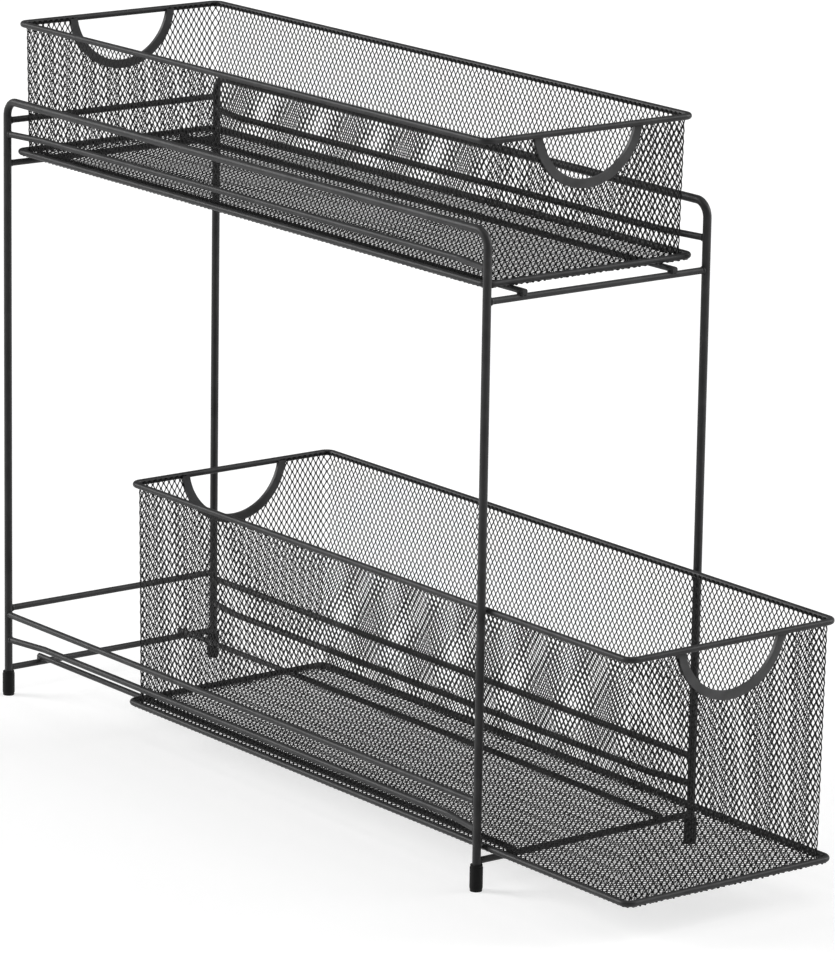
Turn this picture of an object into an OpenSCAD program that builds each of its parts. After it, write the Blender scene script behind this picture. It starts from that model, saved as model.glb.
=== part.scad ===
// Two-tier cabinet rack of welded wire with two pull-out baskets of expanded steel mesh.
// Millimetres, +Z up, front towards -Y, left is -X.
// The origin lies under the middle of the part as it stands with the lower basket pulled out.

/* [Rack] */
// Leg spacing across the rack, centre to centre
rack_w = 152.4; // [120:0.2:300]
// Leg spacing from front to back, centre to centre
rack_d = 466; // [300:1:560]
// Height of the side frames' top rail, at its centre
rail_z = 367.6; // [365:0.2:520]
// Thickness of the wire that the side frames are bent from
frame_wire = 4.8; // [4.2:0.1:7]
// Bend radius of the side frames, at the wire's centre
frame_bend_r = 9; // [6:0.5:20]
// Thickness of the cross bars, rails and guide wires
bar_wire = 3.8; // [3:0.1:4.2]
// Thickness of the two runners that a basket slides on
runner_wire = 3.4; // [2.6:0.1:5]
// Depth that a runner is pressed into a cross bar at its weld
weld_sink = 0.4; // [0.2:0.1:0.8]

/* [Feet] */
// Outer width of a foot cap
foot_d = 7.4; // [7:0.1:12]
// Height of a foot cap
foot_h = 15; // [10:0.5:15]
// Rounding of a foot cap's lower edge
foot_round = 2.2; // [1:0.1:2.6]
// Solid floor of a foot cap under the leg
foot_floor = 3; // [2.6:0.1:6]
// Height of the stepped collar at the top of a foot cap
foot_collar_h = 1.4; // [0.6:0.1:3]
// Step of that collar
foot_collar_step = 0.25; // [0.1:0.05:0.3]
// Play of a foot cap round the leg, on each side
foot_play = 0.05; // [0.02:0.01:0.1]

/* [Tiers] */
// Height of the lower cross bars, at their centre
lower_bar_z = 17; // [17:0.2:26]
// Height of the upper cross bars, at their centre
upper_bar_z = 329.6; // [220:0.2:332]
// Height of the lower side rails above the lower cross bars
side_rail_rise = 33.6; // [24:0.2:60]
// Height of the lower back rail above the lower side rails
back_rail_step = 3.9; // [3.9:0.1:12]
// Height of the upper back rail above the upper cross bars
upper_back_rail_rise = 26; // [22:0.2:28]
// Distance of a runner from the legs' centres
runner_inset = 24; // [18:0.5:40]
// Length of a runner past the centre of each cross bar
runner_over = 2.5; // [2:0.1:8]
// Height of a guide wire above the cross bars, centre to centre
guide_rise = 17.8; // [16:0.2:22]
// Angle at which a guide wire's ends turn out to the legs
guide_turn = 9; // [8:1:14]
// Play between a guide wire and the basket wall
guide_play = 0.6; // [0.4:0.1:0.8]

/* [Baskets] */
// Height of the lower basket, from the centre of one rim to the other
lower_basket_h = 133.6; // [100:0.2:260]
// Height of the upper basket, from the centre of one rim to the other
upper_basket_h = 77.2; // [60:0.2:220]
// Thickness of the rim wires
rim_wire = 3.6; // [2.8:0.1:4.2]
// Corner radius of the mesh wall at its foot, outside
wall_foot_r = 2; // [1.6:0.2:16]
// Amount by which each wall leans in from top to bottom
wall_lean = 1.4; // [0.6:0.1:3]
// Height of the wall's edge above the centre of the top rim
wall_lap = 0.8; // [0.2:0.1:1.5]
// Gap between the wall and the bottom rim along the sides
flange_side = 1.2; // [0.8:0.1:3]
// Gap between the wall and the bottom rim at the ends
flange_end = 4; // [3.2:0.1:8]
// Play between a basket and the legs, on each side
side_play = 0.6; // [0.3:0.1:1]
// Height of a basket's floor above the runners
run_play = 0.3; // [0.2:0.1:0.6]
// Distance of the lower basket's ends inside the legs' outer faces
lower_end_set = 0.2; // [0:0.2:10]
// Distance of the upper basket's ends inside the legs' outer faces
upper_end_set = 6; // [0:0.2:16]
// Distance of the closed baskets behind the middle of the rack
closed_set = 1.4; // [0:0.1:1.6]
// Distance that the lower basket stands pulled out
pull_out = 125; // [60:1:180]

/* [Mesh] */
// Thickness of the expanded mesh
mesh_t = 0.6; // [0.5:0.1:1.2]
// Width of an opening of the mesh
cell_w = 20; // [18:0.5:40]
// Length of an opening of the mesh, along its strands
cell_l = 28; // [25:0.5:50]
// Width of a strand of the mesh
strand_w = 3; // [2:0.1:5]
// Width of the unbroken selvedge round a mesh panel
selvedge = 3; // [2:0.2:5]

/* [Hand holes] */
// Width of a hand hole at the top rim
hole_w = 70; // [56:1:90]
// Depth of a hand hole below the top rim, to the middle of its binding
hole_drop = 30.3; // [20:0.1:36]
// Width of the binding strip round a hand hole
binding_w = 5; // [3.6:0.1:7]
// Thickness of the sheet that the binding strip is folded from
binding_sheet = 0.8; // [0.5:0.1:1]

/* [Hidden] */
$fn = 48;

LEFT = -1;
RIGHT = 1;
FRONT = -1;
BACK = 1;
powder_black = [0.09, 0.09, 0.095];
mesh_black = [0.13, 0.13, 0.135];
binding_grey = [0.2, 0.2, 0.21];
foot_black = [0.05, 0.05, 0.055];

frame_r = frame_wire / 2;
bar_r = bar_wire / 2;
runner_r = runner_wire / 2;
rim_r = rim_wire / 2;
leg_x = rack_w / 2;
leg_y = rack_d / 2;

// Heights, from the cross bars up: runner, basket floor, bottom rim, guide wire
runner_rise = bar_r + runner_r - weld_sink;
floor_rise = runner_rise + runner_r + run_play + mesh_t;
lower_floor_z = lower_bar_z + floor_rise;
upper_floor_z = upper_bar_z + floor_rise;
lower_side_rail_z = lower_bar_z + side_rail_rise;
lower_back_rail_z = lower_side_rail_z + back_rail_step;
upper_back_rail_z = upper_bar_z + upper_back_rail_rise;

// Basket outline, from the legs in: bottom rim, wall foot, wall head, top rim
bottom_rim_x = leg_x - frame_r - side_play - rim_r;
wall_foot_x = bottom_rim_x - rim_r - flange_side;
wall_head_x = wall_foot_x + wall_lean;
function bottom_rim_y(end_set) = leg_y + frame_r - end_set - rim_r;
function wall_foot_y(end_set) = bottom_rim_y(end_set) - rim_r - flange_end;
function wall_head_y(end_set) = wall_foot_y(end_set) + wall_lean;
function wall_h(basket_h) = rim_r + basket_h + wall_lap;
function lean_a(basket_h) = atan(wall_lean / wall_h(basket_h));
// The top rim touches the outside of the leaning wall, to the hundredth above
function rim_stand(basket_h) =
    ceil(100 * (rim_r / cos(lean_a(basket_h)) - wall_lean * wall_lap / wall_h(basket_h))) / 100;
wall_head_r = wall_foot_r + wall_lean;

// Guide wires run inside the leg plane, just clear of the lower basket's wall
function guide_wall_x(basket_h) =
    wall_foot_x + wall_lean * (guide_rise + bar_r - floor_rise) / wall_h(basket_h);
guide_x = max(guide_wall_x(lower_basket_h), guide_wall_x(upper_basket_h)) + guide_play + bar_r;

bend_ball = 0.05;

// Hand hole: one arc through both of its ends and its lowest point
hole_r = (hole_w * hole_w / 4 + hole_drop * hole_drop) / (2 * hole_drop);
hole_rise = hole_r - hole_drop;
binding_t = mesh_t + 2 * binding_sheet;

// The part stands with the middle of its outline over the origin
front_end = closed_set - pull_out - bottom_rim_y(lower_end_set) - rim_r;
back_end = leg_y + foot_d / 2;
rack_y = -(front_end + back_end) / 2;
lower_basket_y = rack_y + closed_set - pull_out;
upper_basket_y = rack_y + closed_set;

module rack() {
    translate([0, rack_y, 0]) children();
}

// ---------------------------------------------------------------- wires

// Straight wire along X, Y or Z, centred on its middle
module wire_x(length, r) {
    rotate([0, 90, 0]) cylinder(h = length, r = r, center = true);
}

module wire_y(length, r) {
    rotate([90, 0, 0]) cylinder(h = length, r = r, center = true);
}

// Quarter bend in the XY plane, from +X round to +Y, about the origin
module wire_bend(bend_r, r, angle = 90) {
    rotate_extrude(angle = angle) translate([bend_r, 0]) circle(r = r);
}

// The same at the back, as drawn, and mirrored at the front
module both_ends() {
    children();
    mirror([0, 1, 0]) children();
}

// As drawn on the right, mirrored on the left
module on_side(side) {
    if (side == RIGHT) children();
    else mirror([1, 0, 0]) children();
}

// Closed wire loop with straight sides and four equal corners
module wire_loop(half_x, half_y, corner_r, r) {
    for (s = [-1, 1]) {
        translate([0, s * half_y, 0]) wire_x(2 * (half_x - corner_r), r);
        translate([s * half_x, 0, 0]) wire_y(2 * (half_y - corner_r), r);
    }
    for (k = [0 : 3]) {
        sx = (k == 0 || k == 3) ? 1 : -1;
        sy = k < 2 ? 1 : -1;
        translate([sx * (half_x - corner_r), sy * (half_y - corner_r), 0])
            rotate([0, 0, 90 * k]) wire_bend(corner_r, r);
    }
}

// The four legs as plain rods, for cutting the ends that are welded to them
module leg_rods() {
    for (sx = [-1, 1], sy = [-1, 1])
        translate([sx * leg_x, sy * leg_y, 0]) cylinder(h = rail_z, r = frame_r);
}

// ---------------------------------------------------------------- rack

// One wire bent to an upside-down U: front leg, top rail, back leg
module side_frame(side) {
    leg_top = rail_z - frame_bend_r;
    color(powder_black) rack() translate([side * leg_x, 0, 0]) union() {
        translate([0, 0, rail_z]) wire_y(2 * (leg_y - frame_bend_r), frame_r);
        both_ends() {
            translate([0, leg_y, foot_floor]) cylinder(h = leg_top - foot_floor, r = frame_r);
            translate([0, leg_y - frame_bend_r, leg_top])
                rotate([90, 0, 90]) wire_bend(frame_bend_r, frame_r);
        }
    }
}

// Push-on cap with a blind bore, a stepped collar and a rounded, flat-bottomed end
module foot(side, end) {
    r = foot_d / 2;
    color(foot_black) rack() translate([side * leg_x, end * leg_y, 0]) difference() {
        union() {
            cylinder(h = foot_round, r = r - foot_round);
            rotate_extrude() intersection() {
                translate([r - foot_round, foot_round]) circle(r = foot_round);
                square([r, foot_round]);
            }
            translate([0, 0, foot_round]) cylinder(h = foot_h - foot_collar_h - foot_round, r = r);
            cylinder(h = foot_h, r = r - foot_collar_step);
        }
        translate([0, 0, foot_floor]) cylinder(h = foot_h, r = frame_r + foot_play);
    }
}

// Straight rail along one side, between the front and the back leg
module side_rail(side) {
    color(powder_black) rack() difference() {
        translate([side * leg_x, 0, lower_side_rail_z]) wire_y(rack_d, bar_r);
        leg_rods();
    }
}

// Straight bar from the left to the right leg
module cross_bar(end, z) {
    color(powder_black) rack() difference() {
        translate([0, end * leg_y, z]) wire_x(rack_w, bar_r);
        leg_rods();
    }
}

// Runner: lies across both cross bars, pressed a little into each at the weld
module runner(side, bar_z) {
    color(powder_black) rack() difference() {
        translate([side * (leg_x - runner_inset), 0, bar_z + runner_rise])
            wire_y(rack_d + 2 * runner_over, runner_r);
        for (end = [FRONT, BACK])
            translate([0, end * leg_y, bar_z]) wire_x(rack_w, bar_r);
    }
}

// Guide wire: keeps the basket's bottom rim down; both ends turn out to the legs.
// A ball a trifle wider than the wire fills each bend.
module guide(side, bar_z) {
    inset = leg_x - guide_x;
    straight_y = leg_y - inset / tan(guide_turn);
    color(powder_black) rack() on_side(side) difference() {
        translate([guide_x, 0, bar_z + guide_rise]) union() {
            wire_y(2 * straight_y, bar_r);
            both_ends() translate([0, straight_y, 0]) {
                rotate([90, 0, 0]) sphere(r = bar_r + bend_ball);
                rotate([-90, 0, -guide_turn]) cylinder(h = inset / sin(guide_turn), r = bar_r);
            }
        }
        leg_rods();
    }
}

// ---------------------------------------------------------------- mesh

// Diamond openings of a panel that spans u0..u1 and v0..v1: a list of outlines.
// Whole diamonds fill the panel in staggered rows; the ones on an edge are halves.
function diamonds(u0, u1, v0, v1, pitch_u, pitch_v) =
    let(
        nu = max(1, round((u1 - u0) / pitch_u)),
        nv = max(1, round((v1 - v0) / pitch_v)),
        half_u = (u1 - u0) / nu / 2,
        half_v = (v1 - v0) / nv / 2,
        face = half_u * half_v / sqrt(half_u * half_u + half_v * half_v),
        open = 1 - strand_w / 2 / face
    )
    [for (i = [0 : 2 * nu], j = [0 : 2 * nv])
        if (i % 2 == j % 2 && !((i == 0 || i == 2 * nu) && (j == 0 || j == 2 * nv)))
            diamond(u0 + i * half_u, v0 + j * half_v, half_u * open, half_v * open, u0, u1, v0, v1)];

// One diamond; where it straddles an edge of the panel only the inner half is left
function diamond(u, v, a, b, u0, u1, v0, v1) =
    concat(
        u + a > u1 ? [] : [[u + a, v]],
        v + b > v1 ? [] : [[u, v + b]],
        u - a < u0 ? [] : [[u - a, v]],
        v - b < v0 ? [] : [[u, v - b]]
    );

// Panel outline with all of its openings cut out
module mesh_sheet(outline, openings) {
    linear_extrude(height = mesh_t) difference() {
        polygon(outline);
        for (d = openings) polygon(d);
    }
}

// Points of a rounded rectangle
function rounded_outline(half_x, half_y, r) =
    [for (k = [0 : 3]) for (a = [0 : 15 : 90])
        let(sx = (k == 0 || k == 3) ? 1 : -1, sy = k < 2 ? 1 : -1)
        [sx * (half_x - r) + r * cos(90 * k + a), sy * (half_y - r) + r * sin(90 * k + a)]];

// Floor: one flat sheet under the bottom rim, long way of its diamonds across the basket
module floor_mesh(end_set, floor_z, basket_y) {
    half_y = bottom_rim_y(end_set);
    open_x = wall_foot_x - mesh_t - selvedge;
    open_y = wall_foot_y(end_set) - mesh_t - selvedge;
    color(mesh_black) translate([0, basket_y, floor_z - mesh_t])
        mesh_sheet(
            rounded_outline(bottom_rim_x, half_y, wall_foot_r + rim_r + flange_side),
            diamonds(-open_x, open_x, -open_y, open_y, cell_l, cell_w)
        );
}

// Puts a flat panel drawn in X (along the wall) and Y (up the wall) on a leaning wall,
// with its outer face towards the side that `turn` faces: 0 front, 90 right, 180 back, 270 left
module on_wall(turn, foot_out, lean, floor_z, basket_y) {
    translate([0, basket_y, floor_z]) rotate([0, 0, turn]) translate([0, -foot_out, 0])
        rotate([90 + lean, 0, 0]) children();
}

function panel_outline(half_u, length) =
    [[-half_u, 0], [half_u, 0], [half_u, length], [-half_u, length]];

// Long side wall between two corners
module side_wall(turn, end_set, basket_h, floor_z, basket_y) {
    lean = lean_a(basket_h);
    length = wall_h(basket_h) / cos(lean);
    half_u = wall_head_y(end_set) - wall_head_r;
    color(mesh_black) on_wall(turn, wall_foot_x, lean, floor_z, basket_y)
        translate([0, 0, -mesh_t]) mesh_sheet(
            panel_outline(half_u, length),
            diamonds(-half_u + selvedge, half_u - selvedge, selvedge, length - selvedge, cell_w, cell_l)
        );
}

// Centre of a hand hole's arc, measured up the leaning wall
function hole_v(basket_h) = (rim_r + basket_h) / cos(lean_a(basket_h)) + hole_rise;

// End wall between two corners, with the hand hole cut out of its top edge
module end_wall(turn, end_set, basket_h, floor_z, basket_y) {
    lean = lean_a(basket_h);
    length = wall_h(basket_h) / cos(lean);
    half_u = wall_head_x - wall_head_r;
    clear_r = hole_r + binding_w / 2 + selvedge / 2;
    all = diamonds(-half_u + selvedge, half_u - selvedge, selvedge, length - selvedge, cell_w, cell_l);
    kept = [for (d = all) if (min([for (p = d) norm(p - [0, hole_v(basket_h)])]) > clear_r) d];
    color(mesh_black) on_wall(turn, wall_foot_y(end_set), lean, floor_z, basket_y) difference() {
        translate([0, 0, -mesh_t]) mesh_sheet(panel_outline(half_u, length), kept);
        translate([0, hole_v(basket_h), -2 * mesh_t])
            cylinder(h = 4 * mesh_t, r = hole_r - binding_w / 2 + binding_sheet + foot_play, $fn = 96);
    }
}

// Rounded corner of the mesh wall, narrowing to the foot like the walls beside it
module corner_mesh(sx, sy, end_set, basket_h, floor_z, basket_y) {
    head_z = wall_h(basket_h);
    head_y = wall_head_y(end_set);
    rows = max(1, round((head_z - 2 * selvedge) / cell_l));
    row_h = (head_z - 2 * selvedge) / rows;
    open_w = wall_foot_r * 0.5;
    turn = sx > 0 ? (sy > 0 ? 0 : 270) : (sy > 0 ? 90 : 180);
    color(mesh_black) translate([sx * (wall_head_x - wall_head_r),
            basket_y + sy * (head_y - wall_head_r), floor_z]) rotate([0, 0, turn]) difference() {
        rotate_extrude(angle = 90) polygon([
            [wall_foot_r - mesh_t, 0], [wall_foot_r, 0],
            [wall_head_r, head_z], [wall_head_r - mesh_t, head_z]
        ]);
        for (k = [0 : rows - 1]) rotate([0, 0, 45]) translate([0, 0, selvedge + (k + 0.5) * row_h])
            rotate([0, 90, 0]) linear_extrude(height = 2 * wall_head_r) polygon([
                [-row_h / 2 + strand_w / 2, 0], [0, open_w],
                [row_h / 2 - strand_w / 2, 0], [0, -open_w]
            ]);
    }
}

// ---------------------------------------------------------------- basket wires

module top_rim(end_set, basket_h, floor_z, basket_y) {
    stand = rim_stand(basket_h);
    translate([0, basket_y, floor_z + rim_r + basket_h])
        wire_loop(wall_head_x + stand, wall_head_y(end_set) + stand, wall_head_r + stand, rim_r);
}

module bottom_rim(end_set, floor_z, basket_y) {
    color(powder_black) translate([0, basket_y, floor_z + rim_r])
        wire_loop(bottom_rim_x, bottom_rim_y(end_set), wall_foot_r + rim_r + flange_side, rim_r);
}

// Binding of a hand hole: a strip folded over the cut edge of the mesh, its ends cut to the rim
module binding(turn, end_set, basket_h, floor_z, basket_y) {
    lean = lean_a(basket_h);
    inner_r = hole_r - binding_w / 2;
    outer_r = hole_r + binding_w / 2;
    color(binding_grey) difference() {
        on_wall(turn, wall_foot_y(end_set), lean, floor_z, basket_y)
            translate([0, hole_v(basket_h), -mesh_t / 2]) difference() {
                rotate_extrude($fn = 96) difference() {
                    translate([inner_r, -binding_t / 2]) square([binding_w, binding_t]);
                    translate([inner_r + binding_sheet, -mesh_t / 2]) square([binding_w, mesh_t]);
                }
                translate([-2 * outer_r, -hole_rise, -binding_t]) cube([4 * outer_r, 2 * outer_r, 2 * binding_t]);
            }
        top_rim(end_set, basket_h, floor_z, basket_y);
    }
}

// ---------------------------------------------------------------- named pieces

module lower_top_rim() {
    color(powder_black) top_rim(lower_end_set, lower_basket_h, lower_floor_z, lower_basket_y);
}
module lower_side_wall(turn) {
    side_wall(turn, lower_end_set, lower_basket_h, lower_floor_z, lower_basket_y);
}
module lower_end_wall(turn) {
    end_wall(turn, lower_end_set, lower_basket_h, lower_floor_z, lower_basket_y);
}
module lower_corner(sx, sy) {
    corner_mesh(sx, sy, lower_end_set, lower_basket_h, lower_floor_z, lower_basket_y);
}
module lower_binding(turn) {
    binding(turn, lower_end_set, lower_basket_h, lower_floor_z, lower_basket_y);
}
module upper_top_rim() {
    color(powder_black) top_rim(upper_end_set, upper_basket_h, upper_floor_z, upper_basket_y);
}
module upper_side_wall(turn) {
    side_wall(turn, upper_end_set, upper_basket_h, upper_floor_z, upper_basket_y);
}
module upper_end_wall(turn) {
    end_wall(turn, upper_end_set, upper_basket_h, upper_floor_z, upper_basket_y);
}
module upper_corner(sx, sy) {
    corner_mesh(sx, sy, upper_end_set, upper_basket_h, upper_floor_z, upper_basket_y);
}
module upper_binding(turn) {
    binding(turn, upper_end_set, upper_basket_h, upper_floor_z, upper_basket_y);
}

side_frame(LEFT);  // side_frame_left
side_frame(RIGHT);  // side_frame_right
foot(LEFT, FRONT);  // foot_front_left
foot(RIGHT, FRONT);  // foot_front_right
foot(LEFT, BACK);  // foot_back_left
foot(RIGHT, BACK);  // foot_back_right
side_rail(LEFT);  // lower_side_rail_left
side_rail(RIGHT);  // lower_side_rail_right
cross_bar(BACK, lower_back_rail_z);  // lower_back_rail
cross_bar(BACK, upper_back_rail_z);  // upper_back_rail
cross_bar(FRONT, lower_bar_z);  // lower_front_bar
cross_bar(BACK, lower_bar_z);  // lower_back_bar
cross_bar(FRONT, upper_bar_z);  // upper_front_bar
cross_bar(BACK, upper_bar_z);  // upper_back_bar
runner(LEFT, lower_bar_z);  // lower_runner_left
runner(RIGHT, lower_bar_z);  // lower_runner_right
runner(LEFT, upper_bar_z);  // upper_runner_left
runner(RIGHT, upper_bar_z);  // upper_runner_right
guide(LEFT, lower_bar_z);  // lower_guide_left
guide(RIGHT, lower_bar_z);  // lower_guide_right
guide(LEFT, upper_bar_z);  // upper_guide_left
guide(RIGHT, upper_bar_z);  // upper_guide_right
lower_top_rim();
bottom_rim(lower_end_set, lower_floor_z, lower_basket_y);  // lower_bottom_rim
floor_mesh(lower_end_set, lower_floor_z, lower_basket_y);  // lower_floor_mesh
lower_side_wall(270);  // lower_wall_left
lower_side_wall(90);  // lower_wall_right
lower_end_wall(0);  // lower_wall_front
lower_end_wall(180);  // lower_wall_back
lower_corner(LEFT, FRONT);  // lower_corner_front_left
lower_corner(RIGHT, FRONT);  // lower_corner_front_right
lower_corner(LEFT, BACK);  // lower_corner_back_left
lower_corner(RIGHT, BACK);  // lower_corner_back_right
lower_binding(0);  // lower_binding_front
lower_binding(180);  // lower_binding_back
upper_top_rim();
bottom_rim(upper_end_set, upper_floor_z, upper_basket_y);  // upper_bottom_rim
floor_mesh(upper_end_set, upper_floor_z, upper_basket_y);  // upper_floor_mesh
upper_side_wall(270);  // upper_wall_left
upper_side_wall(90);  // upper_wall_right
upper_end_wall(0);  // upper_wall_front
upper_end_wall(180);  // upper_wall_back
upper_corner(LEFT, FRONT);  // upper_corner_front_left
upper_corner(RIGHT, FRONT);  // upper_corner_front_right
upper_corner(LEFT, BACK);  // upper_corner_back_left
upper_corner(RIGHT, BACK);  // upper_corner_back_right
upper_binding(0);  // upper_binding_front
upper_binding(180);  // upper_binding_back
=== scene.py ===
import math

import bpy
import numpy as np
from mathutils import Matrix, Vector


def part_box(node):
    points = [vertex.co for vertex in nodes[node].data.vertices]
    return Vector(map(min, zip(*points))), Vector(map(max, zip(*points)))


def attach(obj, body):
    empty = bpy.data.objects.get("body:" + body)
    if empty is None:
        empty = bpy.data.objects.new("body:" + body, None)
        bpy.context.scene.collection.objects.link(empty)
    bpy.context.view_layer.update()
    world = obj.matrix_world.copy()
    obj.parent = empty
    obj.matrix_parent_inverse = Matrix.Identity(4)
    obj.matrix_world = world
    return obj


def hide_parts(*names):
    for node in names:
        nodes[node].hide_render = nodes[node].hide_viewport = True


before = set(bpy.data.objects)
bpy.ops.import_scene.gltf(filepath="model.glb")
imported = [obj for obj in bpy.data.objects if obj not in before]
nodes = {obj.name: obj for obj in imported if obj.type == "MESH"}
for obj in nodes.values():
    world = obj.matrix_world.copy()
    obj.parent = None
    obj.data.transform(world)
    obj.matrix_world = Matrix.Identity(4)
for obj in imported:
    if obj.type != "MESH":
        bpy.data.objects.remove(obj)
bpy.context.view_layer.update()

# --- Camera ---------------------------------------------------------------------
# Stands left of the rack's front and above it, far off with a long lens, and looks down
# a little at the space between the two baskets.

camera_place = (-1.9104, -2.5125, 0.9725)
camera_turn = -37.4
camera_fall = 14.0
camera_roll = 0.9
camera_data = bpy.data.cameras.new("camera")
camera_data.lens = 213.7
camera_data.clip_end = 60
camera = bpy.data.objects.new("camera", camera_data)
bpy.context.collection.objects.link(camera)
camera.matrix_world = (
    Matrix.Translation(camera_place)
    @ Matrix.Rotation(math.radians(camera_turn), 4, "Z")
    @ Matrix.Rotation(math.radians(90 - camera_fall), 4, "X")
    @ Matrix.Rotation(math.radians(camera_roll), 4, "Z")
)
scene = bpy.context.scene
scene.camera = camera
scene.view_settings.view_transform = "Standard"

# --- Studio ---------------------------------------------------------------------
# A wide white table that runs on behind the rack. Two wide lights stand left and right
# of the rack, a little behind it as the camera sees it. A broader, weaker one hangs
# overhead.


def link_object(name, data):
    made = bpy.data.objects.new(name, data)
    bpy.context.collection.objects.link(made)
    return made


def soft_light(name, towards, strength, spread):
    """A distant lamp. Spread is how wide it looks from the rack, in degrees."""
    data = bpy.data.lights.new(name, "SUN")
    data.energy = strength
    data.angle = math.radians(spread)
    lamp = link_object(name, data)
    lamp.rotation_euler = Vector(towards).to_track_quat("-Z", "Y").to_euler()


soft_light("light_left", (0.62, -0.68, -0.42), 2.3, 30)
soft_light("light_right", (-0.81, 0.4, -0.42), 2.0, 30)
soft_light("light_overhead", (-0.1, 0.2, -1.0), 0.9, 60)

room_light = 0.06
room = bpy.data.worlds.new("room")
room.use_nodes = True
scene.world = room
room.node_tree.nodes["Background"].inputs["Color"].default_value = (1, 1, 1, 1)
room.node_tree.nodes["Background"].inputs["Strength"].default_value = room_light

table_half = 14
table_tone = 0.55
table_glow = 0.6
table_data = bpy.data.meshes.new("table")
corners = [(-1, -1), (1, -1), (1, 1), (-1, 1)]
spots = [(table_half * x, table_half * y, 0) for x, y in corners]
table_data.from_pydata(spots, [], [(0, 1, 2, 3)])
table = link_object("table", table_data)
table_white = bpy.data.materials.new("table white")
table_white.use_nodes = True
tree = table_white.node_tree
tree.nodes.remove(tree.nodes["Principled BSDF"])
painted = tree.nodes.new("ShaderNodeBsdfDiffuse")
painted.inputs["Color"].default_value = (table_tone, table_tone, table_tone, 1)
glow = tree.nodes.new("ShaderNodeEmission")

# The table glows only where it is looked at, so it gives the rack no light of its own.
ray = tree.nodes.new("ShaderNodeLightPath")
shown = ray.outputs["Is Camera Ray"]
for other in ("Is Glossy Ray", "Is Transmission Ray"):
    either = tree.nodes.new("ShaderNodeMath")
    either.operation = "MAXIMUM"
    tree.links.new(shown, either.inputs[0])
    tree.links.new(ray.outputs[other], either.inputs[1])
    shown = either.outputs[0]
part = tree.nodes.new("ShaderNodeMath")
part.operation = "MULTIPLY"
part.inputs[1].default_value = table_glow
tree.links.new(shown, part.inputs[0])
tree.links.new(part.outputs[0], glow.inputs["Strength"])
both = tree.nodes.new("ShaderNodeAddShader")
tree.links.new(painted.outputs[0], both.inputs[0])
tree.links.new(glow.outputs[0], both.inputs[1])
tree.links.new(both.outputs[0], tree.nodes["Material Output"].inputs["Surface"])
table_data.materials.append(table_white)

# --- Side frames ----------------------------------------------------------------
# Each is one steel wire bent to an upside-down U: front leg, top rail, back leg. They
# are powder coated charcoal black after the whole rack is welded.


def powder_coat(name, tone, gloss, speck):
    """Satin baked powder: cloudy tone, uneven gloss and the fine skin of the powder."""
    paint = bpy.data.materials.new(name)
    paint.use_nodes = True
    tree = paint.node_tree
    shader = tree.nodes["Principled BSDF"]
    shader.inputs["Specular IOR Level"].default_value = 0.2
    tone_drift = 0.25
    gloss_drift = 0.07
    cloud_scale, gloss_scale = 80, 260
    place = tree.nodes.new("ShaderNodeTexCoord")

    def noise(scale, detail):
        texture = tree.nodes.new("ShaderNodeTexNoise")
        texture.inputs["Scale"].default_value = scale
        texture.inputs["Detail"].default_value = detail
        tree.links.new(place.outputs["Object"], texture.inputs["Vector"])
        return texture.outputs["Fac"]

    cloud = tree.nodes.new("ShaderNodeValToRGB")
    cloud.color_ramp.elements[0].position = 0.3
    cloud.color_ramp.elements[1].position = 0.7
    cloud.color_ramp.elements[0].color = [(1 - tone_drift) * t for t in tone] + [1]
    cloud.color_ramp.elements[1].color = [(1 + tone_drift) * t for t in tone] + [1]
    tree.links.new(noise(cloud_scale, 4), cloud.inputs["Fac"])
    tree.links.new(cloud.outputs["Color"], shader.inputs["Base Color"])
    dull = tree.nodes.new("ShaderNodeMapRange")
    dull.inputs["To Min"].default_value = gloss - gloss_drift
    dull.inputs["To Max"].default_value = gloss + gloss_drift
    tree.links.new(noise(gloss_scale, 2), dull.inputs["Value"])
    tree.links.new(dull.outputs["Result"], shader.inputs["Roughness"])
    skin = tree.nodes.new("ShaderNodeBump")
    skin.inputs["Strength"].default_value = 0.3
    skin.inputs["Distance"].default_value = 0.0001
    tree.links.new(noise(speck, 2), skin.inputs["Height"])
    tree.links.new(skin.outputs["Normal"], shader.inputs["Normal"])
    return paint


def dress(paint, slot, *names):
    """Gives CAD nodes their finish. Their shapes stay as they are."""
    for name in names:
        nodes[name].data.materials.clear()
        nodes[name].data.materials.append(paint)


frame_coat = powder_coat("frame powder coat", (0.055, 0.055, 0.056), 0.42, 1500)
dress(frame_coat, "rack_wire", "side_frame_left", "side_frame_right")

# --- Foot caps ------------------------------------------------------------------
# Moulded soft black plastic, pushed over the leg ends. Finely textured and dull.

cap_plastic = powder_coat("foot cap plastic", (0.008, 0.008, 0.008), 0.6, 2600)
ends = [f"foot_{end}_{side}" for end in ("front", "back") for side in ("left", "right")]
dress(cap_plastic, "foot_cap", *ends)

# --- Rails and cross bars -------------------------------------------------------
# Straight drawn wires butted between the legs and resistance welded to them.

bar_coat = powder_coat("bar powder coat", (0.052, 0.052, 0.053), 0.42, 1700)
side_rails = ["lower_side_rail_left", "lower_side_rail_right"]
cross_wires = [
    "lower_back_rail", "upper_back_rail",
    "lower_front_bar", "lower_back_bar", "upper_front_bar", "upper_back_bar",
]
dress(bar_coat, "rack_wire", *side_rails, *cross_wires)

# --- Runners and guide wires ----------------------------------------------------
# Two runners a tier lie on the cross bars. A guide wire above each bottom rim keeps the
# basket down, and its ends turn out to the legs.

tiers = ("lower", "upper")
sides = ("left", "right")
runners = [f"{tier}_runner_{side}" for tier in tiers for side in sides]
guides = [f"{tier}_guide_{side}" for tier in tiers for side in sides]
dress(bar_coat, "rack_wire", *runners, *guides)

# --- Weld beads -----------------------------------------------------------------
# Small fillets of squeezed-out steel, where a wire meets a leg or a runner meets a bar.

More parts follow.
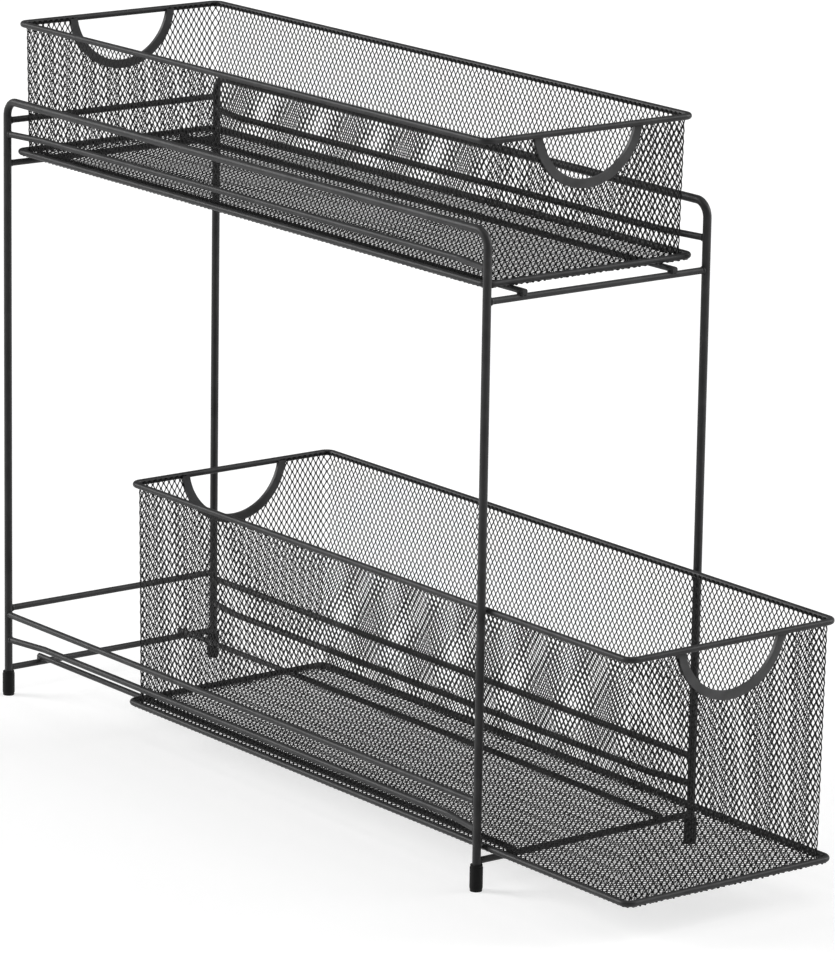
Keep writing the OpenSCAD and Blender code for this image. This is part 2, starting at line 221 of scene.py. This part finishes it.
bead_sides = 12
bead_rings = [(-1.0, 0.0), (-0.9, 0.95), (0.0, 1.22), (0.45, 1.12), (0.9, 0.9), (1.0, 0.0)]


def lathe(name, rings, count):
    """A round closed shape from pairs of height and radius. Its first and last are points."""
    spots = [(0, 0, rings[0][0])]
    for height, radius in rings[1:-1]:
        for k in range(count):
            turn = 2 * math.pi * k / count
            spots.append((radius * math.cos(turn), radius * math.sin(turn), height))
    spots.append((0, 0, rings[-1][0]))
    last = len(spots) - 1
    faces = []
    for k in range(count):
        n = (k + 1) % count
        faces.append((0, 1 + n, 1 + k))
        for j in range(len(rings) - 3):
            low, high = 1 + j * count, 1 + (j + 1) * count
            faces.append((low + k, low + n, high + n, high + k))
        faces.append((last, last - count + k, last - count + n))
    data = bpy.data.meshes.new(name)
    data.from_pydata(spots, [], faces)
    return link_object(name, data)


def math_node(tree, operation, *values):
    """One arithmetic node. A value is a number or the output of another node."""
    node = tree.nodes.new("ShaderNodeMath")
    node.operation = operation
    for socket, value in zip(node.inputs, values):
        if isinstance(value, (int, float)):
            socket.default_value = value
        else:
            tree.links.new(value, socket)
    return node.outputs[0]


def new_tree(name, wanted):
    """An empty node group with the named inputs. Returns it, its sockets and its ends."""
    tree = bpy.data.node_groups.new(name, "GeometryNodeTree")
    sockets = {}
    for label, kind in wanted.items():
        kind = "NodeSocket" + kind
        made = tree.interface.new_socket(name=label, in_out="INPUT", socket_type=kind)
        sockets[label] = made.identifier
    tree.interface.new_socket(name="Geometry", in_out="OUTPUT", socket_type="NodeSocketGeometry")
    ends = tree.nodes.new("NodeGroupInput"), tree.nodes.new("NodeGroupOutput")
    return tree, sockets, *ends


def finish_tree(tree, shape, given, result, smooth):
    """Every tree ends the same way: real geometry, its shading and its paint."""
    real = tree.nodes.new("GeometryNodeRealizeInstances")
    shade = tree.nodes.new("GeometryNodeSetShadeSmooth")
    shade.inputs["Shade Smooth"].default_value = smooth
    coat = tree.nodes.new("GeometryNodeSetMaterial")
    tree.links.new(shape, real.inputs[0])
    tree.links.new(real.outputs[0], shade.inputs[0])
    tree.links.new(shade.outputs[0], coat.inputs["Geometry"])
    tree.links.new(given.outputs["Paint"], coat.inputs["Material"])
    tree.links.new(coat.outputs[0], result.inputs[0])


def grow(name, carrier_data, grown, values):
    """Runs a tree on a carrier mesh and keeps the result as a plain mesh."""
    tree, sockets = grown
    piece = link_object(name, carrier_data)
    modifier = piece.modifiers.new(tree.name, "NODES")
    modifier.node_group = tree
    for label, value in values.items():
        modifier[sockets[label]] = value
    finished = piece.evaluated_get(bpy.context.evaluated_depsgraph_get())
    data = bpy.data.meshes.new_from_object(finished)
    piece.modifiers.clear()
    piece.data = data
    data.name = name
    return piece


def bead_tree():
    """Sets one bead on every point, turned along the wire, each a little different."""
    tree, sockets, given, result = new_tree(
        "weld beads",
        {"Points": "Geometry", "Bead": "Object", "Width": "Float", "Length": "Float",
         "Seed": "Int", "Paint": "Material"},
    )
    along = tree.nodes.new("GeometryNodeInputNamedAttribute")
    along.data_type = "FLOAT_VECTOR"
    along.inputs["Name"].default_value = "along"
    turned = tree.nodes.new("FunctionNodeAlignRotationToVector")
    turned.axis = "Z"
    tree.links.new(along.outputs["Attribute"], turned.inputs["Vector"])
    uneven = tree.nodes.new("FunctionNodeRandomValue")
    uneven.data_type = "FLOAT"
    uneven.inputs[2].default_value = 0.9
    uneven.inputs[3].default_value = 1.1
    tree.links.new(given.outputs["Seed"], uneven.inputs["Seed"])
    size = tree.nodes.new("ShaderNodeCombineXYZ")
    for axis, label in enumerate(("Width", "Width", "Length")):
        value = math_node(tree, "MULTIPLY", given.outputs[label], uneven.outputs[1])
        tree.links.new(value, size.inputs[axis])
    bead = tree.nodes.new("GeometryNodeObjectInfo")
    tree.links.new(given.outputs["Bead"], bead.inputs["Object"])
    lay = tree.nodes.new("GeometryNodeInstanceOnPoints")
    tree.links.new(given.outputs["Points"], lay.inputs["Points"])
    tree.links.new(bead.outputs["Geometry"], lay.inputs["Instance"])
    tree.links.new(turned.outputs[0], lay.inputs["Rotation"])
    tree.links.new(size.outputs[0], lay.inputs["Scale"])
    finish_tree(tree, lay.outputs[0], given, result, True)
    return tree, sockets


def points_with_direction(name, places):
    """Loose points, each with the way that the wire runs there."""
    data = bpy.data.meshes.new(name)
    data.from_pydata([place for place, _ in places], [], [])
    along = data.attributes.new("along", "FLOAT_VECTOR", "POINT")
    along.data.foreach_set("vector", [number for _, way in places for number in way])
    return data


leg_front = (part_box("foot_front_left")[0].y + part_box("foot_front_left")[1].y) / 2
leg_back = (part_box("foot_back_left")[0].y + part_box("foot_back_left")[1].y) / 2
leg_x = (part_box("foot_back_right")[0].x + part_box("foot_back_right")[1].x) / 2

# Radii of the wires, and how far a bead spreads along and across them.
leg_radius = 0.0024
bar_radius = 0.0019
butt_length = 0.0011
lap_width = 0.0011
lap_length = 0.0022
butts = []
for name in cross_wires:
    low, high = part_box(name)
    middle = (low + high) / 2
    for way in (-1, 1):
        butts.append(((way * (leg_x - leg_radius), middle.y, middle.z), (-way, 0, 0)))
for name in side_rails + guides:
    low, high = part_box(name)
    outer = max(abs(low.x), abs(high.x)) - bar_radius
    side = math.copysign(outer, low.x + high.x)
    for at, way in ((leg_front + leg_radius, 1), (leg_back - leg_radius, -1)):
        butts.append(((side, at, (low.z + high.z) / 2), (0, way, 0)))
laps = []
for name in runners:
    low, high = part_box(name)
    for tier_end in ("front", "back"):
        bar_low, bar_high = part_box(f"{name.split('_')[0]}_{tier_end}_bar")
        for way in (-1, 1):
            across = (low.x + high.x) / 2 + way * lap_width
            laps.append(((across, (bar_low.y + bar_high.y) / 2, bar_high.z), (0, 1, 0)))

bead = lathe("bead", bead_rings, bead_sides)
bead_grown = bead_tree()
for name, places, width, length in (
    ("weld_beads_at_legs", butts, bar_radius, butt_length),
    ("weld_beads_under_runners", laps, lap_width, lap_length),
):
    beads = grow(
        name, points_with_direction(name + "_points", places), bead_grown,
        {"Bead": bead, "Width": width, "Length": length, "Seed": 4, "Paint": bar_coat},
    )
    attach(beads, "rack")
bpy.data.objects.remove(bead)

# --- Basket rims ----------------------------------------------------------------
# A closed loop of wire round the mouth and another round the foot of each basket.

# Same powder as the frame, but set darker than it: painted shade for the overhead light that the
# upper tier and its load keep off the lower basket, given to the rims of both tiers.
rim_coat_with_painted_shade = powder_coat("rim powder coat with painted shade", (0.045, 0.045, 0.046), 0.42, 1700)
rims = [f"{tier}_{place}_rim" for tier in tiers for place in ("top", "bottom")]
dress(rim_coat_with_painted_shade, "basket_wire", *rims)

# --- Binding strips -------------------------------------------------------------
# A strip of sheet steel folded over the mesh's cut edge round each hand hole.

binding_coat = powder_coat("binding powder coat", (0.08, 0.08, 0.081), 0.45, 1900)
bindings = [f"{tier}_binding_{end}" for tier in tiers for end in ("front", "back")]
dress(binding_coat, "binding_strip", *bindings)

# --- Expanded mesh walls --------------------------------------------------------
# Steel sheet, 0.3 mm thick, slit in rows and pulled open. Its flat strands run up the
# wall in zigzags and stay joined where two of them touch, so the holes are small upright
# six-sided diamonds, 3.9 by 6.1 mm. One strip is bent round the corners of a basket.

cell_width = 0.0039
cell_height = 0.0061
bond_half = 0.00045
strand_width = 0.0006
sheet_thickness = 0.0003
strand_lift = 0.00012
unevenness = 0.00018
cut_reach = 0.0036
wander_scale = 70
wander_share = (4.0, 4.0, 0.6)
far_off = 10.0


def mesh_tree():
    """Zigzag strands side by side, trimmed to a rounded outline and round a hand hole."""
    tree, sockets, given, result = new_tree(
        "expanded mesh",
        {"Strands": "Int", "Steps": "Int", "Half Cell": "Float", "Half Row": "Float",
         "Bond": "Float", "Strand Width": "Float", "Sheet": "Float", "Lift": "Float",
         "Start": "Vector", "Middle": "Vector", "Core": "Vector", "Corner": "Float",
         "Hole Place": "Vector", "Hole Radius": "Float", "Reach": "Float",
         "Unevenness": "Float", "Seed": "Float", "Paint": "Material"},
    )
    get = given.outputs

    def vector_node(operation, *values):
        node = tree.nodes.new("ShaderNodeVectorMath")
        node.operation = operation
        for socket, value in zip(node.inputs, values):
            if isinstance(value, tuple):
                socket.default_value = value
            else:
                tree.links.new(value, socket)
        return node.outputs["Value"] if operation == "LENGTH" else node.outputs["Vector"]

    def scaled(vector, factor):
        node = tree.nodes.new("ShaderNodeVectorMath")
        node.operation = "SCALE"
        tree.links.new(vector, node.inputs[0])
        tree.links.new(factor, node.inputs["Scale"])
        return node.outputs["Vector"]

    def do(operation, *values):
        return math_node(tree, operation, *values)

    def line(count):
        node = tree.nodes.new("GeometryNodeMeshLine")
        tree.links.new(get[count], node.inputs["Count"])
        node.inputs["Offset"].default_value = (0, 0, 0)
        return node.outputs[0]

    # Every strand starts as the same run of points.
    lay = tree.nodes.new("GeometryNodeInstanceOnPoints")
    tree.links.new(line("Strands"), lay.inputs["Points"])
    tree.links.new(line("Steps"), lay.inputs["Instance"])
    loose = tree.nodes.new("GeometryNodeRealizeInstances")
    tree.links.new(lay.outputs[0], loose.inputs[0])
    index = tree.nodes.new("GeometryNodeInputIndex").outputs[0]
    strand = do("FLOOR", do("DIVIDE", do("ADD", index, 0.5), get["Steps"]))
    step = do("SUBTRACT", index, do("MULTIPLY", strand, get["Steps"]))
    row = do("FLOOR", do("DIVIDE", do("ADD", step, 0.5), 2.0))
    odd_step = do("SUBTRACT", step, do("MULTIPLY", row, 2.0))
    bond_end = do("SUBTRACT", do("MULTIPLY", odd_step, 2.0), 1.0)
    side = do("FLOORED_MODULO", do("ADD", row, strand), 2.0)
    lean_to = do("SUBTRACT", 1.0, do("MULTIPLY", side, 2.0))
    across = do("MULTIPLY", get["Half Cell"], do("ADD", strand, side))
    across = do("ADD", across, do("MULTIPLY", lean_to, do("MULTIPLY", get["Strand Width"], 0.5)))
    up = do("ADD", do("MULTIPLY", row, get["Half Row"]), do("MULTIPLY", bond_end, get["Bond"]))
    spot = tree.nodes.new("ShaderNodeCombineXYZ")
    for axis, value in enumerate((across, up, do("MULTIPLY", lean_to, get["Lift"]))):
        tree.links.new(value, spot.inputs[axis])
    spot = vector_node("ADD", spot.outputs[0], get["Start"])

    # The stretched sheet is never quite even.
    shift = tree.nodes.new("ShaderNodeTexNoise")
    shift.noise_dimensions = "4D"
    shift.inputs["Scale"].default_value = wander_scale
    shift.inputs["Detail"].default_value = 2
    tree.links.new(spot, shift.inputs["Vector"])
    tree.links.new(get["Seed"], shift.inputs["W"])
    wander = vector_node("SUBTRACT", shift.outputs["Color"], (0.5, 0.5, 0.5))
    wander = scaled(wander, get["Unevenness"])
    spot = vector_node("ADD", spot, vector_node("MULTIPLY", wander, wander_share))

    # Points just outside the outline or in the hole are drawn to its edge.
    offset = vector_node("SUBTRACT", spot, get["Middle"])
    past = vector_node("SUBTRACT", vector_node("ABSOLUTE", offset), get["Core"])
    past = vector_node("MAXIMUM", past, (0, 0, 0))
    past_length = vector_node("LENGTH", past)
    over = do("SUBTRACT", past_length, get["Corner"])
    pull = do("DIVIDE", do("MAXIMUM", over, 0.0), do("MAXIMUM", past_length, 1e-6))
    inward = scaled(vector_node("MULTIPLY", past, vector_node("SIGN", offset)), pull)
    spot = vector_node("SUBTRACT", spot, inward)
    from_hole = vector_node("MULTIPLY", vector_node("SUBTRACT", spot, get["Hole Place"]), (1, 1, 0))
    hole_distance = vector_node("LENGTH", from_hole)
    short = do("MAXIMUM", do("SUBTRACT", get["Hole Radius"], hole_distance), 0.0)
    outward = scaled(from_hole, do("DIVIDE", short, do("MAXIMUM", hole_distance, 1e-6)))
    beyond = do("GREATER_THAN", over, get["Reach"])
    lost = do("MAXIMUM", beyond, do("GREATER_THAN", short, get["Reach"]))
    spot = vector_node("ADD", spot, outward)
    kept_lost = tree.nodes.new("GeometryNodeStoreNamedAttribute")
    kept_lost.data_type = "FLOAT"
    kept_lost.inputs["Name"].default_value = "lost"
    tree.links.new(loose.outputs[0], kept_lost.inputs["Geometry"])
    tree.links.new(lost, kept_lost.inputs["Value"])
    move = tree.nodes.new("GeometryNodeSetPosition")
    tree.links.new(kept_lost.outputs[0], move.inputs["Geometry"])
    tree.links.new(spot, move.inputs["Position"])
    marked = tree.nodes.new("GeometryNodeInputNamedAttribute")
    marked.data_type = "FLOAT"
    marked.inputs["Name"].default_value = "lost"
    trim = tree.nodes.new("GeometryNodeDeleteGeometry")
    tree.links.new(move.outputs[0], trim.inputs["Geometry"])
    tree.links.new(do("GREATER_THAN", marked.outputs["Attribute"], 0.5), trim.inputs["Selection"])

    # What is left gets a strand's flat section.
    wire = tree.nodes.new("GeometryNodeMeshToCurve")
    tree.links.new(trim.outputs[0], wire.inputs["Mesh"])
    upright = tree.nodes.new("GeometryNodeSetCurveNormal")
    upright.mode = "Z_UP"
    tree.links.new(wire.outputs[0], upright.inputs["Curve"])
    section = tree.nodes.new("GeometryNodeCurvePrimitiveQuadrilateral")
    tree.links.new(get["Strand Width"], section.inputs["Width"])
    tree.links.new(get["Sheet"], section.inputs["Height"])
    body = tree.nodes.new("GeometryNodeCurveToMesh")
    body.inputs["Fill Caps"].default_value = True
    tree.links.new(upright.outputs[0], body.inputs["Curve"])
    tree.links.new(section.outputs[0], body.inputs["Profile Curve"])
    finish_tree(tree, body.outputs[0], given, result, False)
    return tree, sockets


def lay_sheet(name, strands, steps, half_cell, half_row, seed, **more):
    """A flat piece of the mesh. More names other inputs of the tree, in small letters."""
    values = {
        "Strands": strands, "Steps": steps, "Half Cell": half_cell, "Half Row": half_row,
        "Bond": bond_half, "Strand Width": strand_width, "Sheet": sheet_thickness,
        "Lift": strand_lift, "Unevenness": unevenness, "Reach": cut_reach, "Seed": seed,
        "Paint": mesh_coat, "Core": (far_off, far_off, far_off), "Corner": 0.0,
        "Middle": (0, 0, 0), "Hole Place": (0, 0, far_off), "Hole Radius": 0.0,
    }
    values.update({label.replace("_", " ").title(): value for label, value in more.items()})
    return grow(name, bpy.data.meshes.new(name + "_carrier"), mesh_grown, values)


def points_of(data):
    flat = np.empty(len(data.vertices) * 3)
    data.vertices.foreach_get("co", flat)
    return flat.reshape(-1, 3)


def set_points(data, points):
    data.vertices.foreach_set("co", np.ascontiguousarray(points, dtype=float).ravel())
    data.update()


mesh_grown = mesh_tree()
mesh_coat = powder_coat("mesh powder coat", (0.006, 0.006, 0.0062), 0.5, 1900)
wall_lean = 0.0014
panel_thickness = 0.0006
rim_radius = 0.0018
wall_seed = 3.0

# The hand hole is part of a circle whose centre lies a little above the top rim.
hole_radius = 0.03536
hole_rise = 0.00506


class Wall:
    """The rounded, leaning outer face of a basket's wall, from its CAD panels' boxes."""

    def __init__(self, basket):
        front_low, front_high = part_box(basket + "_wall_front")
        right_low, right_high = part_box(basket + "_wall_right")
        back_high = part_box(basket + "_wall_back")[1]
        self.middle_y = (front_low.y + back_high.y) / 2
        self.foot_x = right_high.x - wall_lean
        self.foot_y = (back_high.y - front_low.y) / 2 - wall_lean
        self.flat_x = front_high.x
        self.flat_y = (right_high.y - right_low.y) / 2
        self.foot_z = front_low.z
        self.height = front_high.z - front_low.z
        self.radius = self.foot_x - self.flat_x
        self.arc = math.pi / 2 * (self.radius + wall_lean / 2)
        self.girth = 4 * (self.flat_x + self.flat_y + self.arc)

    def bend(self, points):
        """Along runs round the wall from the middle of the front, up and out are the rest."""
        along, up, out = points.T
        flats = [self.flat_x, 2 * self.flat_y, 2 * self.flat_x, 2 * self.flat_y, self.flat_x]
        lengths = [length for flat in flats for length in (flat, self.arc)][:-1]
        stops = np.cumsum([0.0] + lengths)
        along = np.mod(along, self.girth)
        out = out + wall_lean * up / self.height
        x = np.zeros_like(along)
        y = np.zeros_like(along)
        for k in range(len(lengths)):
            here = (along >= stops[k]) & (along <= stops[k + 1])
            way = along[here] - stops[k]
            quarter = k // 2 % 4
            turn = math.radians(90 * quarter - 90)
            if k % 2:
                turns = turn + way / self.arc * math.pi / 2
                reach = self.radius + out[here]
                x[here] = self.flat_x * (1, 1, -1, -1)[quarter] + reach * np.cos(turns)
                y[here] = self.flat_y * (-1, 1, 1, -1)[quarter] + reach * np.sin(turns)
                continue
            half_flat, face = self.flat_x, self.foot_y
            if quarter % 2:
                half_flat, face = self.flat_y, self.foot_x
            slide = way if k == 0 else way - half_flat
            reach = face + out[here]
            x[here] = reach * math.cos(turn) - slide * math.sin(turn)
            y[here] = reach * math.sin(turn) + slide * math.cos(turn)
        return np.column_stack([x, y + self.middle_y, up + self.foot_z])


for number, basket in enumerate(tiers):
    wall = Wall(basket)
    cells = round(wall.girth / cell_width)
    half_cell = wall.girth / cells / 2
    rows = round(wall.height / cell_height * 2)
    half_row = wall.height / rows
    rim_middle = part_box(basket + "_top_rim")[1].z - rim_radius - wall.foot_z
    back_start = wall.flat_x + 2 * (wall.arc + wall.flat_y)
    stretches = {
        "front": (-wall.flat_x, wall.flat_x, ["wall_front"]),
        "right": (
            wall.flat_x, back_start,
            ["wall_right", "corner_front_right", "corner_back_right"],
        ),
        "back": (back_start, back_start + 2 * wall.flat_x, ["wall_back"]),
        "left": (
            back_start + 2 * wall.flat_x, wall.girth - wall.flat_x,
            ["wall_left", "corner_front_left", "corner_back_left"],
        ),
    }
    for label, (first, last, stands_for) in stretches.items():
        start = 2 * round(first / half_cell / 2)
        stop = 2 * round(last / half_cell / 2)
        hole = {}
        if label in ("front", "back"):
            hole = {
                "hole_place": ((first + last) / 2, rim_middle + hole_rise, 0),
                "hole_radius": hole_radius,
            }
        panel = lay_sheet(
            f"{basket}_{label}_wall_mesh",
            stop - start, 2 * rows + 2, half_cell, half_row, wall_seed + number,
            start=(start * half_cell, 0, -panel_thickness / 2),
            middle=(0, wall.height / 2, 0), core=(far_off, wall.height / 2, far_off), **hole,
        )
        set_points(panel.data, wall.bend(points_of(panel.data)))
        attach(panel, basket + "_basket")
        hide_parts(*[f"{basket}_{name}" for name in stands_for])

# --- Mesh floors ----------------------------------------------------------------
# A flat piece of the same sheet under each bottom rim, its diamonds lying across the
# basket. It is cut along the rim and welded to its underside.

floor_corner = 0.005
floor_lift = 0.00003
floor_seed = 7.0
for number, basket in enumerate(tiers):
    low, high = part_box(basket + "_floor_mesh")
    centre = (low + high) / 2
    half_x = (high.x - low.x) / 2
    half_y = (high.y - low.y) / 2
    strands = round(4 * half_y / cell_width)
    rows = round(4 * half_x / cell_height)
    floor = lay_sheet(
        basket + "_floor_sheet",
        strands, 2 * rows + 2, 2 * half_y / strands, 2 * half_x / rows, floor_seed + number,
        start=(-half_y, -half_x, 0), core=(half_y - floor_corner, half_x - floor_corner, far_off),
        corner=floor_corner, lift=floor_lift,
    )
    flat = points_of(floor.data)
    set_points(floor.data, flat[:, [1, 0, 2]] * (1, 1, -1) + tuple(centre))
    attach(floor, basket + "_basket")
    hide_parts(basket + "_floor_mesh")

# --- Cut ends of the floor ------------------------------------------------------
# Where the floor sheet is cut off, the ends of its strands stand a little below the
# bottom rim as a row of small bumps.

end_inset = 0.0014
side_inset = 0.0028
end_drop = 0.00005
end_size = (0.001, 0.0007, 0.00055)
end_stray = (0.0003, 0.0003, 0.00008)
least, most = (0.6, 0.8, 0.7), (1.3, 1.1, 1.2)
end_sides = 7
end_seed = 11
end_rings = [(-1.0, 0.0), (-0.55, 0.85), (0.1, 1.0), (0.7, 0.7), (1.0, 0.0)]


def cut_end_tree():
    """Strings small bumps along a closed path, with uneven sizes, turns and gaps."""
    tree, sockets, given, result = new_tree(
        "cut ends",
        {"Path": "Geometry", "End": "Object", "Pitch": "Float", "Size": "Vector",
         "Stray": "Vector", "Seed": "Int", "Paint": "Material"},
    )
    loop = tree.nodes.new("GeometryNodeMeshToCurve")
    tree.links.new(given.outputs["Path"], loop.inputs["Mesh"])
    spaced = tree.nodes.new("GeometryNodeResampleCurve")
    spaced.mode = "LENGTH"
    tree.links.new(loop.outputs[0], spaced.inputs["Curve"])
    tree.links.new(given.outputs["Pitch"], spaced.inputs["Length"])

    def chance(low, high, extra):
        node = tree.nodes.new("FunctionNodeRandomValue")
        node.data_type = "FLOAT_VECTOR"
        node.inputs[0].default_value = low
        node.inputs[1].default_value = high
        seed = math_node(tree, "ADD", given.outputs["Seed"], extra)
        tree.links.new(seed, node.inputs["Seed"])
        return node.outputs[0]

    def product(first, second):
        node = tree.nodes.new("ShaderNodeVectorMath")
        node.operation = "MULTIPLY"
        tree.links.new(first, node.inputs[0])
        tree.links.new(second, node.inputs[1])
        return node.outputs["Vector"]

    astray = product(chance((-1, -1, -1), (1, 1, 1), 0), given.outputs["Stray"])
    scatter = tree.nodes.new("GeometryNodeSetPosition")
    tree.links.new(spaced.outputs[0], scatter.inputs["Geometry"])
    tree.links.new(astray, scatter.inputs["Offset"])
    tangent = tree.nodes.new("GeometryNodeInputTangent")
    turned = tree.nodes.new("FunctionNodeAlignRotationToVector")
    turned.axis = "X"
    tree.links.new(tangent.outputs[0], turned.inputs["Vector"])
    bump = tree.nodes.new("GeometryNodeObjectInfo")
    tree.links.new(given.outputs["End"], bump.inputs["Object"])
    lay = tree.nodes.new("GeometryNodeInstanceOnPoints")
    tree.links.new(scatter.outputs[0], lay.inputs["Points"])
    tree.links.new(bump.outputs["Geometry"], lay.inputs["Instance"])
    tree.links.new(turned.outputs[0], lay.inputs["Rotation"])
    size = product(given.outputs["Size"], chance(least, most, 5))
    tree.links.new(size, lay.inputs["Scale"])
    finish_tree(tree, lay.outputs[0], given, result, True)
    return tree, sockets


def rounded_loop(name, half_x, half_y, radius, centre):
    """A closed path of a rectangle with round corners, as a mesh of edges."""
    steps = 8
    spots = []
    for quarter, (sx, sy) in enumerate(((1, -1), (1, 1), (-1, 1), (-1, -1))):
        for k in range(steps + 1):
            turn = math.radians(90 * quarter - 90 + 90 * k / steps)
            spots.append((
                centre[0] + sx * (half_x - radius) + radius * math.cos(turn),
                centre[1] + sy * (half_y - radius) + radius * math.sin(turn),
                centre[2],
            ))
    data = bpy.data.meshes.new(name)
    edges = [(k, (k + 1) % len(spots)) for k in range(len(spots))]
    data.from_pydata(spots, edges, [])
    return data


cut_end = lathe("cut_end", end_rings, end_sides)
cut_grown = cut_end_tree()
for number, basket in enumerate(tiers):
    low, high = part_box(basket + "_bottom_rim")
    path = rounded_loop(
        basket + "_cut_path",
        (high.x - low.x) / 2 - side_inset, (high.y - low.y) / 2 - end_inset, floor_corner,
        ((low.x + high.x) / 2, (low.y + high.y) / 2, low.z - end_drop),
    )
    cut_ends = grow(
        basket + "_cut_ends", path, cut_grown,
        {"End": cut_end, "Pitch": cell_width, "Size": end_size, "Stray": end_stray,
         "Seed": end_seed + number, "Paint": mesh_coat},
    )
    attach(cut_ends, basket + "_basket")
bpy.data.objects.remove(cut_end)
